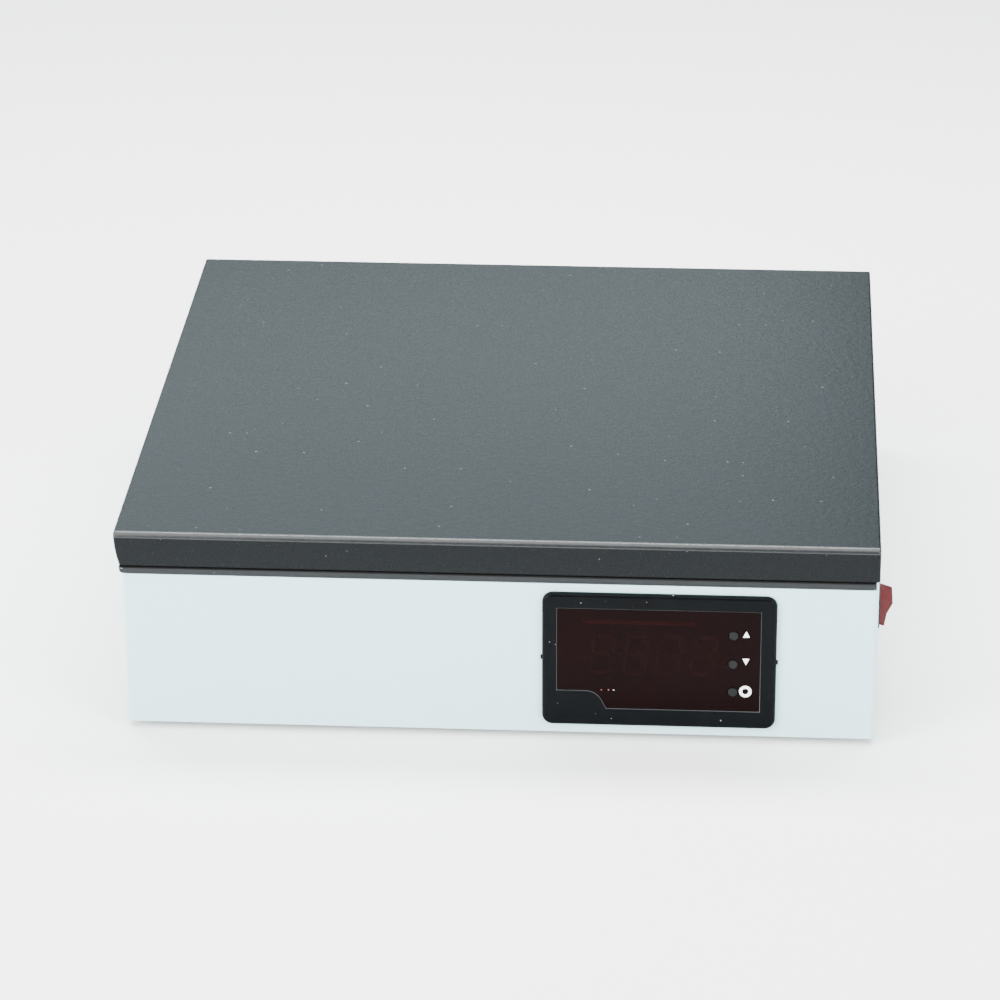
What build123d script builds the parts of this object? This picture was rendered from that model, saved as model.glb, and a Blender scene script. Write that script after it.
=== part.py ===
from build123d import *
import math
import os

# Dry block heater: a white folded-steel base with a hinged dark lid over four
# aluminium heating blocks.  Millimetres, +X to the user's right, +Y towards the back,
# +Z up.  The origin is under the middle of the whole object, on the bench.
#
# Distances on the casing are written with across() from the left wall, behind() from
# the front wall and above() from the bottom edge of the walls.

# ---------------------------------------------------------------- casing
base_width = 380.0
base_depth = 385.0
panel_height = 82.9
sheet = 1.2
corner_radius = 2.6
lip_width = 17.0
bottom_flange = 12.0
foot_height = 4.0
foot_radius = 9.0
foot_inset = 32.0
fit_gap = 0.3              # between pieces that move apart
seat_gap = 0.4             # around a piece dropped into another
hole_gap = 0.25            # round a screw in a clearance hole

vent_count = 12
vent_pitch = 8.0
vent_length = 26.0
vent_width = 3.2
vent_above = 30.0
vent_across = 70.0         # first slot of the back wall

# ---------------------------------------------------------------- seal and lid
gasket_thickness = 3.9
gasket_band = 10.0
gasket_out_left = 1.9
gasket_out_front = 0.8
gasket_in_back = 0.6
lid_gap = 0.7
lid_height = 17.8
lid_sheet = 1.1
lid_bend = 2.8             # front bend
lid_edge = 1.2             # other bends and corners
lid_over_left = 4.2
lid_over_right = 0.5
lid_lean = 2.5             # the left rim curves in by this much at its foot
lid_insulation_thickness = 5.0
liner_sheet = 0.8
liner_inset = 4.0

# ---------------------------------------------------------------- hinge
hinge_width = 56.0
hinge_spacing = 236.0
leaf_thickness = 1.5
knuckle_radius = 3.2
hinge_pin_radius = 1.5
hinge_pin_play = 0.08
base_leaf_height = 24.0
lid_leaf_height = 14.0
knuckle_count = 5

# ---------------------------------------------------------------- heated chamber
well_radius = 14.5
well_depth = 44.0
wells_across = 3
wells_deep = 2
block_margin = 12.5
block_height = 50.0
block_gap = 1.0
probe_well_radius = 2.5
plate_thickness = 8.0
mat_thickness = 1.5
insulation_floor = 17.0
insulation_wall = 15.0
liner_wall = 1.0
chamber_side = 38.5        # chamber to the side walls
chamber_behind = 56.0      # back of the chamber to the back wall
service_depth = 118.0      # front wall to the chamber
pillar_radius = 5.0

# ---------------------------------------------------------------- controller
bezel_width = 118.0
bezel_height = 73.5
bezel_radius = 5.5
bezel_proud = 2.8
bezel_edge = 1.9           # rounding of the bezel's front edge
bezel_from_right = 109.3   # centre
bezel_above = 41.8         # centre
frame_side = 7.85          # bezel frame beside and above the window
frame_end = 9.1
window_shift_x = -0.25
window_shift_z = 1.0
window_recess = 0.6
window_thickness = 2.0
notch_width = 25.0         # raised lower left corner of the window frame
notch_height = 9.8
notch_slope = 11.0
notch_waist = 2.0          # the slope's width over its lower 0.4
nub_out = 0.8              # small lug at each side of the bezel
nub_height = 2.2
nub_up = 0.4
cutout_margin = 3.25
housing_depth = 62.0
housing_wall = 2.0
board_depth = 8.0
board_thickness = 1.6
button_radius = 2.35
button_proud = 0.9
button_travel = 0.6
button_from_right = 21.7   # from the right edge of the bezel
button_heights = {"up": 15.5, "down": -0.4, "set": -16.0}   # from its middle
display_from_left = 14.2   # from the window's left edge
display_to_button = 6.5
display_height = 27.0
display_up = 3.85

# ---------------------------------------------------------------- mains switch
switch_behind = 57.2       # front edge of the switch bezel
switch_above = 44.0        # centre
switch_bezel_y = 22.8
switch_bezel_z = 18.9
switch_bezel_proud = 2.5
rocker_side = 2.0          # bezel to rocker, at each side and at each end
rocker_end = 2.4
rocker_rise = 6.8
rocker_hollow = 1.0        # the rocker's middle lies below its ends
rocker_tilt = 18.0
switch_overlap_y = 0.7     # bezel over the edge of its opening
switch_overlap_z = 0.85
pivot_out = 0.6
pivot_radius = 1.0
pivot_play = 0.1

# ---------------------------------------------------------------- mains inlet
inlet_from_right = 80.0
inlet_above = 43.0
inlet_flange_x = 50.0
inlet_flange_z = 33.0
inlet_proud = 2.5
inlet_body_x = 27.6
inlet_body_z = 29.0
inlet_screw_spacing = 40.0
inlet_depth = 24.0

# ---------------------------------------------------------------- levels and walls
rocker_width = switch_bezel_y - 2 * rocker_side
rocker_half = switch_bezel_z / 2 - rocker_end
window_width = bezel_width - 2 * frame_side
window_height = bezel_height - 2 * frame_end
rocker_reach = (pivot_out + rocker_rise * math.cos(math.radians(rocker_tilt))
                + rocker_half * math.sin(math.radians(rocker_tilt)))
front_reach = max(bezel_proud, bezel_proud - window_recess + button_proud)
hinge_offset = knuckle_radius + fit_gap
back_reach = hinge_offset + knuckle_radius

wall_left = -(lid_over_left + base_width + rocker_reach) / 2 + lid_over_left
wall_right = wall_left + base_width
wall_front = -(front_reach + base_depth + back_reach) / 2 + front_reach
wall_back = wall_front + base_depth
middle_x = (wall_left + wall_right) / 2

z_base = foot_height
z_deck = z_base + panel_height
z_gasket = z_deck + gasket_thickness
z_rim = z_gasket + lid_gap
z_top = z_rim + lid_height
z_cover = z_base + sheet
z_mat = z_cover + insulation_floor
z_plate = z_mat + mat_thickness
z_block = z_plate + plate_thickness
z_block_top = z_block + block_height
z_liner = z_top - lid_sheet - lid_insulation_thickness - liner_sheet

chamber_x = base_width - 2 * chamber_side
chamber_y = base_depth - chamber_behind - service_depth
block_x = (chamber_x - 3 * block_gap) / 2
block_y = (chamber_y - 3 * block_gap) / 2
well_pitch_x = (block_x - 2 * (block_margin + well_radius)) / (wells_across - 1)
well_pitch_y = (block_y - 2 * (block_margin + well_radius)) / (wells_deep - 1)
chamber_left = middle_x - chamber_x / 2
chamber_back = wall_back - chamber_behind
chamber_front = chamber_back - chamber_y
chamber_middle_y = (chamber_front + chamber_back) / 2

hinge_y = wall_back + hinge_offset
hinge_z = z_rim - fit_gap
hinge_places = [middle_x - hinge_spacing / 2, middle_x + hinge_spacing / 2]

LOW = (Align.CENTER, Align.CENTER, Align.MIN)
HIGH = (Align.CENTER, Align.CENTER, Align.MAX)


def across(distance):
    return wall_left + distance


def behind(distance):
    return wall_front + distance


def above(distance):
    return z_base + distance


# ---------------------------------------------------------------- shape helpers
def slab(x0, x1, y0, y1, z0, z1):
    """A block between two corners."""
    return Pos((x0 + x1) / 2, (y0 + y1) / 2, (z0 + z1) / 2) * Box(x1 - x0, y1 - y0, z1 - z0)


def centred(x, y, z0, width, depth, height):
    """A block that stands on z0, centred on x and y."""
    return Pos(x, y, z0) * Box(width, depth, height, align=LOW)


def rounded(x0, x1, y0, y1, z0, z1, radius):
    """A block with its upright edges rounded."""
    body = slab(x0, x1, y0, y1, z0, z1)
    return fillet(body.edges().filter_by(Axis.Z), radius)


def rod(start, end, radius):
    """A round bar from one point to another."""
    run = Vector(*end) - Vector(*start)
    return Plane(origin=start, z_dir=run) * Cylinder(radius, run.length, align=LOW)


def group(solids):
    """Several separate solids that share one node."""
    return Compound([solid for piece in solids for solid in piece.solids()])


def screw(seat, outward, shank_radius, shank_length, head_radius=None, head_height=None):
    """A pan-head screw with a cross recess, its head standing outward from its seat."""
    head_radius = head_radius or shank_radius * 1.9
    head_height = head_height or shank_radius * 1.2
    head = Cylinder(head_radius, head_height, align=LOW)
    head = fillet(head.edges().sort_by(Axis.Z)[-1], head_height * 0.55)
    arm = head_radius * 1.1
    for turn in (0, 90):
        head -= Pos(0, 0, head_height) * Rot(0, 0, turn) * Box(arm, arm * 0.24, head_height)
    shank = Cylinder(shank_radius, shank_length, align=HIGH)
    return Plane(origin=seat, z_dir=outward) * (head + shank)


def grid(x_pitch, y_pitch, x_count, y_count):
    """Centred places of a rectangular pattern."""
    return [((i - (x_count - 1) / 2) * x_pitch, (j - (y_count - 1) / 2) * y_pitch)
            for j in range(y_count) for i in range(x_count)]


def panel_shape(width, height, radius, depth, y, x, z):
    """A rounded rectangle on the front panel that stands out by its depth."""
    plane = Plane(origin=(x, y, z), x_dir=(1, 0, 0), z_dir=(0, -1, 0))
    return extrude(plane * RectangleRounded(width, height, radius), amount=depth)


def wire(points, radius):
    """A round lead along straight runs joined by tangent arcs."""
    spots = [Vector(*point) for point in points]
    runs = [b - a for a, b in zip(spots, spots[1:])]
    radii = []
    for a, b in zip(runs, runs[1:]):
        half_turn = math.radians(a.get_angle(b)) / 2
        radii.append(0.45 * min(a.length, b.length) / math.tan(half_turn))
    path = FilletPolyline(*spots, radius=radii)
    section = Plane(origin=spots[0], z_dir=runs[0]) * Circle(radius)
    return sweep(section, path=path)


# ---------------------------------------------------------------- places used twice
foot_places = [(x, y) for x in (wall_left + foot_inset, wall_right - foot_inset)
               for y in (wall_front + foot_inset, wall_back - foot_inset)]
screw_line = bottom_flange * 0.6 + sheet
bottom_screw_places = (
    [(x, y) for x in (wall_left + screw_line, wall_right - screw_line)
     for y in (behind(80), behind(base_depth / 2), behind(base_depth - 80))]
    + [(x, y) for x in (across(90), across(base_width - 90))
       for y in (wall_front + screw_line, wall_back - screw_line)])
deck_line = gasket_band + 3.6
deck_screw_places = (
    [(x, y) for x in (wall_left + deck_line, wall_right - deck_line)
     for y in (behind(30), behind(base_depth / 2), behind(base_depth - 30))]
    + [(middle_x, y) for y in (wall_front + deck_line, wall_back - deck_line)])
pillar_places = [(middle_x + dx, chamber_middle_y + dy)
                 for dx, dy in grid(chamber_x / 2 - 22, chamber_y - 40, 3, 2)]
cutout_places = [(middle_x + chamber_x / 4 - 11, chamber_middle_y)]
deck_screw_radius = 1.5
pillar_screw_radius = 2.0
panel_screw_radius = 1.5

switch_y = behind(switch_behind + switch_bezel_y / 2)
switch_z = above(switch_above)
inlet_x = wall_right - inlet_from_right
inlet_z = above(inlet_above)
bezel_x = wall_right - bezel_from_right
bezel_z = above(bezel_above)
button_x = bezel_x + bezel_width / 2 - button_from_right
switch_cut_y = switch_bezel_y - 2 * switch_overlap_y
switch_cut_z = switch_bezel_z - 2 * switch_overlap_z
inlet_screw_places = [(inlet_x + dx, inlet_z) for dx in (-inlet_screw_spacing / 2, inlet_screw_spacing / 2)]
nodes = {}


# ---------------------------------------------------------------- base casing
def hinge_screw_heights(leaf_height, direction):
    return hinge_z + direction * (knuckle_radius + (leaf_height - knuckle_radius) * 0.55)


def hinge_screw_places(leaf_height, direction):
    height = hinge_screw_heights(leaf_height, direction)
    return [(x + dx, height) for x in hinge_places for dx in (-hinge_width * 0.34, 0, hinge_width * 0.34)]


def make_base_shell():
    z_right = z_rim - fit_gap
    shell = rounded(wall_left, wall_right, wall_front, wall_back, z_base, z_right, corner_radius)
    shell -= rounded(wall_left + sheet, wall_right - sheet, wall_front + sheet, wall_back - sheet,
                     z_base, z_deck - sheet, corner_radius - sheet)
    shell -= slab(wall_left - 1, wall_right - sheet, wall_front - 1, wall_back + 1, z_deck, z_right + 1)
    shell -= slab(wall_left + lip_width, wall_right - lip_width, wall_front + lip_width,
                  wall_back - lip_width, z_deck - 2 * sheet, z_right + 1)
    flange = rounded(wall_left + sheet / 2, wall_right - sheet / 2, wall_front + sheet / 2,
                     wall_back - sheet / 2, z_cover, z_cover + sheet, corner_radius - sheet / 2)
    flange -= slab(wall_left + bottom_flange, wall_right - bottom_flange, wall_front + bottom_flange,
                   wall_back - bottom_flange, z_cover - 1, z_cover + sheet + 1)
    shell += flange
    # controller, switch and inlet openings
    shell -= centred(bezel_x, wall_front, bezel_z - bezel_height / 2 + cutout_margin,
                     bezel_width - 2 * cutout_margin, 10, bezel_height - 2 * cutout_margin)
    shell -= centred(wall_right, switch_y, switch_z - switch_cut_z / 2, 10, switch_cut_y, switch_cut_z)
    shell -= centred(inlet_x, wall_back, inlet_z - inlet_body_z / 2 - fit_gap,
                     inlet_body_x + 2 * fit_gap, 10, inlet_body_z + 2 * fit_gap)
    # screw holes
    for x, y in bottom_screw_places:
        shell -= rod((x, y, z_base), (x, y, z_cover + 5), panel_screw_radius + hole_gap)
    for x, y in deck_screw_places:
        shell -= rod((x, y, z_deck - 5), (x, y, z_deck + 1), deck_screw_radius + hole_gap)
    for x, z in hinge_screw_places(base_leaf_height, -1) + inlet_screw_places:
        shell -= rod((x, wall_back - 5, z), (x, wall_back + 1, z), panel_screw_radius + hole_gap)
    # cooling slots low in the back wall
    for i in range(vent_count):
        x = across(vent_across + i * vent_pitch)
        slot = Plane(origin=(x, wall_back + 1, above(vent_above)), x_dir=(0, 0, 1), z_dir=(0, -1, 0))
        shell -= extrude(slot * SlotOverall(vent_length, vent_width), amount=5)
    return shell


nodes["base_shell"] = make_base_shell()

cover = rounded(wall_left + sheet + seat_gap, wall_right - sheet - seat_gap, wall_front + sheet + seat_gap,
                wall_back - sheet - seat_gap, z_base, z_cover, corner_radius)
for x, y in bottom_screw_places:
    cover -= rod((x, y, z_base - 1), (x, y, z_cover + 1), panel_screw_radius + hole_gap)
for x, y in foot_places + pillar_places:
    cover -= rod((x, y, z_base - 1), (x, y, z_cover + 1), pillar_screw_radius + hole_gap)
for i in range(vent_count):
    slot = Pos(across(vent_across - 10 + 2 * i * vent_pitch), behind(54), z_base - 1) * SlotOverall(
        vent_length, vent_width, rotation=90)
    cover -= extrude(slot, amount=5)
nodes["bottom_cover"] = cover

screw_shank = 6.0
nodes["bottom_screws"] = group(
    [screw((x, y, z_base), (0, 0, -1), panel_screw_radius, screw_shank) for x, y in bottom_screw_places]
    + [screw((x, y, z_base), (0, 0, -1), pillar_screw_radius, 9.0) for x, y in pillar_places])


def make_foot(x, y):
    foot = Pos(x, y, 0) * Cone(foot_radius - 1.2, foot_radius, foot_height, align=LOW)
    foot -= rod((x, y, -1), (x, y, foot_height / 2), foot_radius * 0.45)
    return foot - rod((x, y, -1), (x, y, foot_height + 1), pillar_screw_radius + hole_gap)


nodes["feet"] = group([make_foot(x, y) for x, y in foot_places])
nodes["foot_screws"] = group([
    screw((x, y, foot_height / 2), (0, 0, -1), pillar_screw_radius, 9.0, head_height=1.6)
    for x, y in foot_places])
nut_height = 3.0
nodes["foot_nuts"] = group([
    Pos(x, y, z_cover) * extrude(RegularPolygon(3.9, 6), amount=nut_height)
    - rod((x, y, z_cover), (x, y, z_cover + nut_height + 1), pillar_screw_radius)
    for x, y in foot_places])


# ---------------------------------------------------------------- seal and deck
def make_gasket():
    right = wall_right - sheet - 0.1
    outer = rounded(wall_left - gasket_out_left, right, wall_front - gasket_out_front,
                    wall_back - gasket_in_back, z_deck, z_gasket, corner_radius)
    lower_left = [edge for edge in outer.edges().filter_by(Axis.Y)
                  if edge.center().Z < z_deck + 0.1 and edge.center().X < middle_x]
    outer = fillet(lower_left, 1.6)
    return outer - slab(wall_left + gasket_band, wall_right - gasket_band, wall_front + gasket_band,
                        wall_back - gasket_band, z_deck - 1, z_gasket + 1)


nodes["gasket"] = make_gasket()

deck_edge = gasket_band + seat_gap
deck = slab(wall_left + deck_edge, wall_right - deck_edge, wall_front + deck_edge,
            wall_back - deck_edge, z_deck, z_deck + sheet)
deck -= slab(chamber_left, chamber_left + chamber_x, chamber_front, chamber_back,
             z_deck - 1, z_deck + sheet + 1)
for x, y in deck_screw_places:
    deck -= rod((x, y, z_deck - 1), (x, y, z_deck + 5), deck_screw_radius + hole_gap)
nodes["deck_plate"] = deck
nodes["deck_screws"] = group([
    screw((x, y, z_deck + sheet), (0, 0, 1), deck_screw_radius, 5.0, head_height=1.6)
    for x, y in deck_screw_places])

# ---------------------------------------------------------------- heated chamber
liner_flange = 7.0
liner_out = slab(chamber_left - liner_wall, chamber_left + chamber_x + liner_wall,
                 chamber_front - liner_wall, chamber_back + liner_wall, z_plate, z_deck)
liner_out += slab(chamber_left - liner_flange, chamber_left + chamber_x + liner_flange,
                  chamber_front - liner_flange, chamber_back + liner_flange, z_deck - liner_wall, z_deck)
nodes["chamber_liner"] = liner_out - slab(chamber_left, chamber_left + chamber_x, chamber_front,
                                          chamber_back, z_plate - 1, z_deck + 1)

insulation_out = [chamber_left - liner_wall - insulation_wall,
                  chamber_left + chamber_x + liner_wall + insulation_wall,
                  chamber_front - liner_wall - insulation_wall,
                  chamber_back + liner_wall + insulation_wall]
probe_z = z_plate + plate_thickness / 2
probe_x = middle_x - 24.0
probe_radius = 2.0
probe_length = 78.0
probe_end = chamber_front + 60.0
probe_start = probe_end - probe_length
lead_radius = 1.2
heater_lead_x = [middle_x + 30, middle_x + 36]
side_insulation = slab(*insulation_out, z_mat, z_deck - liner_wall - 0.5)
side_insulation -= slab(chamber_left - liner_wall, chamber_left + chamber_x + liner_wall,
                        chamber_front - liner_wall, chamber_back + liner_wall, z_mat - 1, z_deck)
side_insulation -= rod((probe_x, insulation_out[2] - 1, probe_z), (probe_x, chamber_front, probe_z),
                       probe_radius + 0.5)
for x in heater_lead_x:
    side_insulation -= slab(x - 2, x + 2, insulation_out[2] - 1, chamber_front, z_mat - 1, z_mat + 4)
nodes["side_insulation"] = side_insulation
nodes["chamber_liner"] -= rod((probe_x, chamber_front - 5, probe_z), (probe_x, chamber_front + 1, probe_z),
                              probe_radius + 0.5)

floor_board = slab(*insulation_out, z_cover, z_mat)
heater_mat = slab(chamber_left + 1, chamber_left + chamber_x - 1, chamber_front + 1, chamber_back - 1,
                  z_mat, z_plate)
heater_plate = slab(chamber_left + 1, chamber_left + chamber_x - 1, chamber_front + 1, chamber_back - 1,
                    z_plate, z_block)
for x, y in pillar_places:
    floor_board -= rod((x, y, z_cover - 1), (x, y, z_mat + 1), pillar_radius + hole_gap)
    heater_mat -= rod((x, y, z_mat - 1), (x, y, z_plate + 1), pillar_radius + hole_gap)
thermostat_radius = 8.0
thermostat_height = 9.0
tab_length = 4.0
for x, y in cutout_places:
    floor_board -= rod((x, y, z_plate - thermostat_height - tab_length - 1.5), (x, y, z_mat + 1),
                       thermostat_radius + 6)
    heater_mat -= rod((x, y, z_mat - 1), (x, y, z_plate + 1), thermostat_radius + 1)
heater_plate -= rod((probe_x, chamber_front, probe_z), (probe_x, probe_end + 1, probe_z), probe_radius + 0.1)
nodes["floor_insulation"] = floor_board
nodes["heater_mat"] = heater_mat
nodes["heater_plate"] = heater_plate

nodes["plate_pillars"] = group([
    rod((x, y, z_cover), (x, y, z_plate), pillar_radius)
    - rod((x, y, z_cover - 1), (x, y, z_cover + 10), pillar_screw_radius) for x, y in pillar_places])

thermostat = []
for x, y in cutout_places:
    body = rod((x, y, z_plate - thermostat_height), (x, y, z_plate), thermostat_radius)
    for dx in (-3.0, 3.0):
        body += centred(x + dx, y, z_plate - thermostat_height - tab_length, 1.0, 4.0, tab_length + 1)
    thermostat.append(body)
nodes["thermal_cutout"] = group(thermostat)
nodes["temperature_probe"] = rod((probe_x, probe_start, probe_z), (probe_x, probe_end, probe_z), probe_radius)


def make_block(x, y):
    block = centred(x, y, z_block, block_x, block_y, block_height)
    block = chamfer(block.edges(), 0.8)
    for dx, dy in grid(well_pitch_x, well_pitch_y, wells_across, wells_deep):
        bottom = Pos(x + dx, y + dy, z_block_top - well_depth)
        well = bottom * Cylinder(well_radius, well_depth + 1, align=LOW)
        block -= fillet(well.edges().sort_by(Axis.Z)[0], 3.0)
        block -= Pos(x + dx, y + dy, z_block_top - 0.8) * Cone(well_radius, well_radius + 1.0, 1.0, align=LOW)
    for dx in (-well_pitch_x / 2, well_pitch_x / 2):
        hole_x = x + dx
        block -= rod((hole_x, y, z_block_top - 30), (hole_x, y, z_block_top + 1), probe_well_radius)
    return block


block_step_x = (block_x + block_gap) / 2
block_step_y = (block_y + block_gap) / 2
block_places = {"front_left": (-1, -1), "front_right": (1, -1), "rear_left": (-1, 1), "rear_right": (1, 1)}
for name, (side, row) in block_places.items():
    nodes["block_" + name] = make_block(middle_x + side * block_step_x, chamber_middle_y + row * block_step_y)

# ---------------------------------------------------------------- controller
window_x = bezel_x + window_shift_x
window_z = bezel_z + window_shift_z
window_front = wall_front - bezel_proud + window_recess
window_back = window_front + window_thickness
ledge = 1.0


def window_outline(grow):
    """The window shape with the raised lower left corner, grown on all sides."""
    left = -window_width / 2 - grow
    right = window_width / 2 + grow
    low = -window_height / 2 - grow
    high = window_height / 2 + grow
    step = low + notch_height
    foot = left + notch_width
    top_of_slope = foot - notch_slope
    outline = Polyline((foot, low), (right, low), (right, high), (left, high), (left, step),
                       (top_of_slope, step))
    outline += Spline((top_of_slope, step), (foot - notch_waist, low + 0.4 * notch_height), (foot, low),
                      tangents=((1, 0), (0.6, -1)))
    return make_face(outline)


def window_plate(grow, front, depth):
    plane = Plane(origin=(window_x, front, window_z), x_dir=(1, 0, 0), z_dir=(0, -1, 0))
    return extrude(plane * window_outline(grow), amount=-depth)


bezel = panel_shape(bezel_width, bezel_height, bezel_radius, bezel_proud, wall_front, bezel_x, bezel_z)
bezel = fillet(bezel.faces().sort_by(Axis.Y)[0].edges(), bezel_edge)
bezel -= window_plate(0, wall_front - bezel_proud - 1, bezel_proud + 2)
bezel -= window_plate(ledge, window_front, 5)
nub_reach = bezel_width + 2 * nub_out
bezel += slab(bezel_x - nub_reach / 2, bezel_x + nub_reach / 2, wall_front - 0.8, wall_front,
              bezel_z + nub_up - nub_height / 2, bezel_z + nub_up + nub_height / 2) - panel_shape(
                  bezel_width - 1, bezel_height, bezel_radius, 5, wall_front + 1, bezel_x, bezel_z)
nodes["controller_bezel"] = bezel

window = window_plate(ledge - 0.1, window_front, window_thickness)
for height in button_heights.values():
    z = bezel_z + height
    window -= rod((button_x, window_front - 1, z), (button_x, window_back + 1, z), button_radius + fit_gap)
nodes["controller_window"] = window

housing_x = bezel_width - 2 * cutout_margin - 2 * fit_gap
housing_z = bezel_height - 2 * cutout_margin - 2 * fit_gap
housing_back = behind(housing_depth)
board_front = behind(board_depth)
board_back = board_front + board_thickness
inner_x = housing_x - 2 * housing_wall
inner_z = housing_z - 2 * housing_wall
shelf = 2.0


def facing(width, height, y0, y1, x=None, z=None):
    """A block facing the front, centred on the controller unless told otherwise."""
    x = bezel_x if x is None else x
    z = bezel_z if z is None else z
    return slab(x - width / 2, x + width / 2, y0, y1, z - height / 2, z + height / 2)


housing = facing(housing_x, housing_z, wall_front, housing_back)
housing = fillet(housing.edges().filter_by(Axis.Y), 2.0)
housing -= facing(inner_x, inner_z, wall_front - 1, board_back)
housing -= facing(inner_x - 2 * shelf, inner_z - 2 * shelf, board_back - 1, housing_back - housing_wall)
for i in range(6):
    housing -= facing(4.0, housing_z + 2, behind(30), behind(52), x=bezel_x + (i - 2.5) * 14)
nodes["controller_housing"] = housing
nodes["controller_board"] = facing(inner_x - 2 * fit_gap, inner_z - 2 * fit_gap, board_front, board_back)

display_left = window_x - window_width / 2 + display_from_left
display_right = button_x - display_to_button
nodes["display_module"] = facing(display_right - display_left, display_height, window_back + 0.8,
                                 board_front, x=(display_left + display_right) / 2,
                                 z=bezel_z + display_up)

stem_end = window_back + 2.6
switch_front = stem_end + button_travel + fit_gap
tact_switches = []
for name, height in button_heights.items():
    z = bezel_z + height
    front = window_front - button_proud
    cap = rod((button_x, front, z), (button_x, window_back + fit_gap + 1.0, z), button_radius)
    cap = fillet(cap.edges().sort_by(Axis.Y)[0], 0.5)
    cap += rod((button_x, window_back + fit_gap, z), (button_x, window_back + fit_gap + 1.0, z),
               button_radius + 0.9)
    cap += rod((button_x, window_back + fit_gap, z), (button_x, stem_end, z), 1.5)
    nodes["button_" + name] = cap
    tact_switches.append(facing(6.0, 6.0, switch_front + 1.0, board_front, x=button_x, z=z)
                         + rod((button_x, switch_front, z), (button_x, board_front, z), 1.7))
nodes["button_switches"] = group(tact_switches)

clamp_reach = 5.0
clamp_length = 26.0
clamp_height = 18.0
clamps = []
for side in (-1, 1):
    inner = bezel_x + side * housing_x / 2
    outer = inner + side * clamp_reach
    clamps.append(slab(min(inner, outer), max(inner, outer), behind(sheet), behind(sheet + clamp_length),
                       bezel_z - clamp_height / 2, bezel_z + clamp_height / 2))
nodes["controller_clamps"] = group(clamps)
terminal_count = 8
terminal_pitch = 9.0
terminal_depth = 10.0
terminal_height = 14.0
terminal_screw_radius = 2.4
terminals = facing(terminal_count * terminal_pitch, terminal_height, housing_back,
                   housing_back + terminal_depth)
contact_screws = []
for i in range(terminal_count):
    x = bezel_x + (i - (terminal_count - 1) / 2) * terminal_pitch
    seat = (x, housing_back + 4, bezel_z - 2)
    terminals -= rod(seat, (x, housing_back + terminal_depth + 1, bezel_z - 2), terminal_screw_radius + 0.2)
    contact_screws.append(rod(seat, (x, housing_back + 7, bezel_z - 2), terminal_screw_radius))
nodes["controller_terminals"] = terminals

# ---------------------------------------------------------------- mains switch
rocker_play = 0.3
opening_y = rocker_width + 2 * rocker_play
opening_z = switch_bezel_z - 2.0
switch_body_y = switch_cut_y - 0.3
switch_body_z = switch_cut_z - 0.3
switch_body_depth = 20.0
switch_wall = 0.8
cavity_depth = 9.0
pivot_x = wall_right + pivot_out


def sideways(width, height, x0, x1):
    """A block on the right wall, centred on the switch."""
    return slab(x0, x1, switch_y - width / 2, switch_y + width / 2, switch_z - height / 2,
                switch_z + height / 2)


switch_bezel = sideways(switch_bezel_y, switch_bezel_z, wall_right, wall_right + switch_bezel_proud)
switch_bezel = chamfer(switch_bezel.faces().sort_by(Axis.X)[-1].edges(), 0.6)
switch_bezel -= sideways(opening_y, opening_z, wall_right - 1, wall_right + 5)
pivot_seat = rod((pivot_x, switch_y - opening_y / 2 - 0.5, switch_z),
                 (pivot_x, switch_y + opening_y / 2 + 0.5, switch_z), pivot_radius + pivot_play)
nodes["switch_bezel"] = switch_bezel - pivot_seat

switch_housing = sideways(switch_body_y, switch_body_z, wall_right - switch_body_depth, wall_right)
switch_housing -= sideways(switch_body_y - 2 * switch_wall, switch_body_z - 2 * switch_wall,
                           wall_right - cavity_depth, wall_right + 1)
nodes["switch_housing"] = switch_housing - pivot_seat

tip_x = pivot_out + rocker_rise
nose_width = 12.0


def rocker_slice(points, width):
    """A slice of the rocker: points give its profile seen from the front, mirrored up and down."""
    outline = points + [(x, -z) for x, z in reversed(points) if z]
    plane = Plane(origin=(wall_right, switch_y + width / 2, switch_z), x_dir=(1, 0, 0), z_dir=(0, -1, 0))
    return extrude(plane * make_face(Polyline(*outline, close=True)), amount=width)


rocker = rocker_slice([(tip_x - rocker_hollow, 0.0), (tip_x, rocker_half), (0.0, rocker_half + 0.1)],
                      rocker_width)
rocker += rocker_slice([(0.4, 3.8), (-0.6, 4.4), (-2.6, 3.2), (-5.0, 0.0)], nose_width)
tips = [edge for edge in rocker.edges().filter_by(Axis.Y) if edge.center().X > wall_right + tip_x - 0.1]
rocker = fillet(tips, 0.5)
rocker += rod((pivot_x, switch_y - opening_y / 2 - 0.35, switch_z),
              (pivot_x, switch_y + opening_y / 2 + 0.35, switch_z), pivot_radius)
rocker_axis = Axis((pivot_x, switch_y, switch_z), (0, 1, 0))
nodes["switch_rocker"] = rocker.rotate(rocker_axis, rocker_tilt)

blade_length = 8.0
blade_heights = [-5.0, 0.0, 5.0]
blade_tip_x = wall_right - switch_body_depth - blade_length
nodes["switch_blades"] = group([
    slab(blade_tip_x, wall_right - switch_body_depth, switch_y - 3.1, switch_y + 3.1,
         switch_z + dz - 0.4, switch_z + dz + 0.4) for dz in blade_heights])

# ---------------------------------------------------------------- mains inlet
socket_x = 24.4
socket_z = 16.4
socket_depth = 17.0
socket_up = 4.4
drawer_x = 22.0
drawer_z = 6.6
drawer_down = -9.6
drawer_depth = 20.0


def rearward(width, height, y0, y1, dz=0.0):
    """A block on the back wall, centred on the inlet."""
    return slab(inlet_x - width / 2, inlet_x + width / 2, y0, y1, inlet_z + dz - height / 2,
                inlet_z + dz + height / 2)


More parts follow.
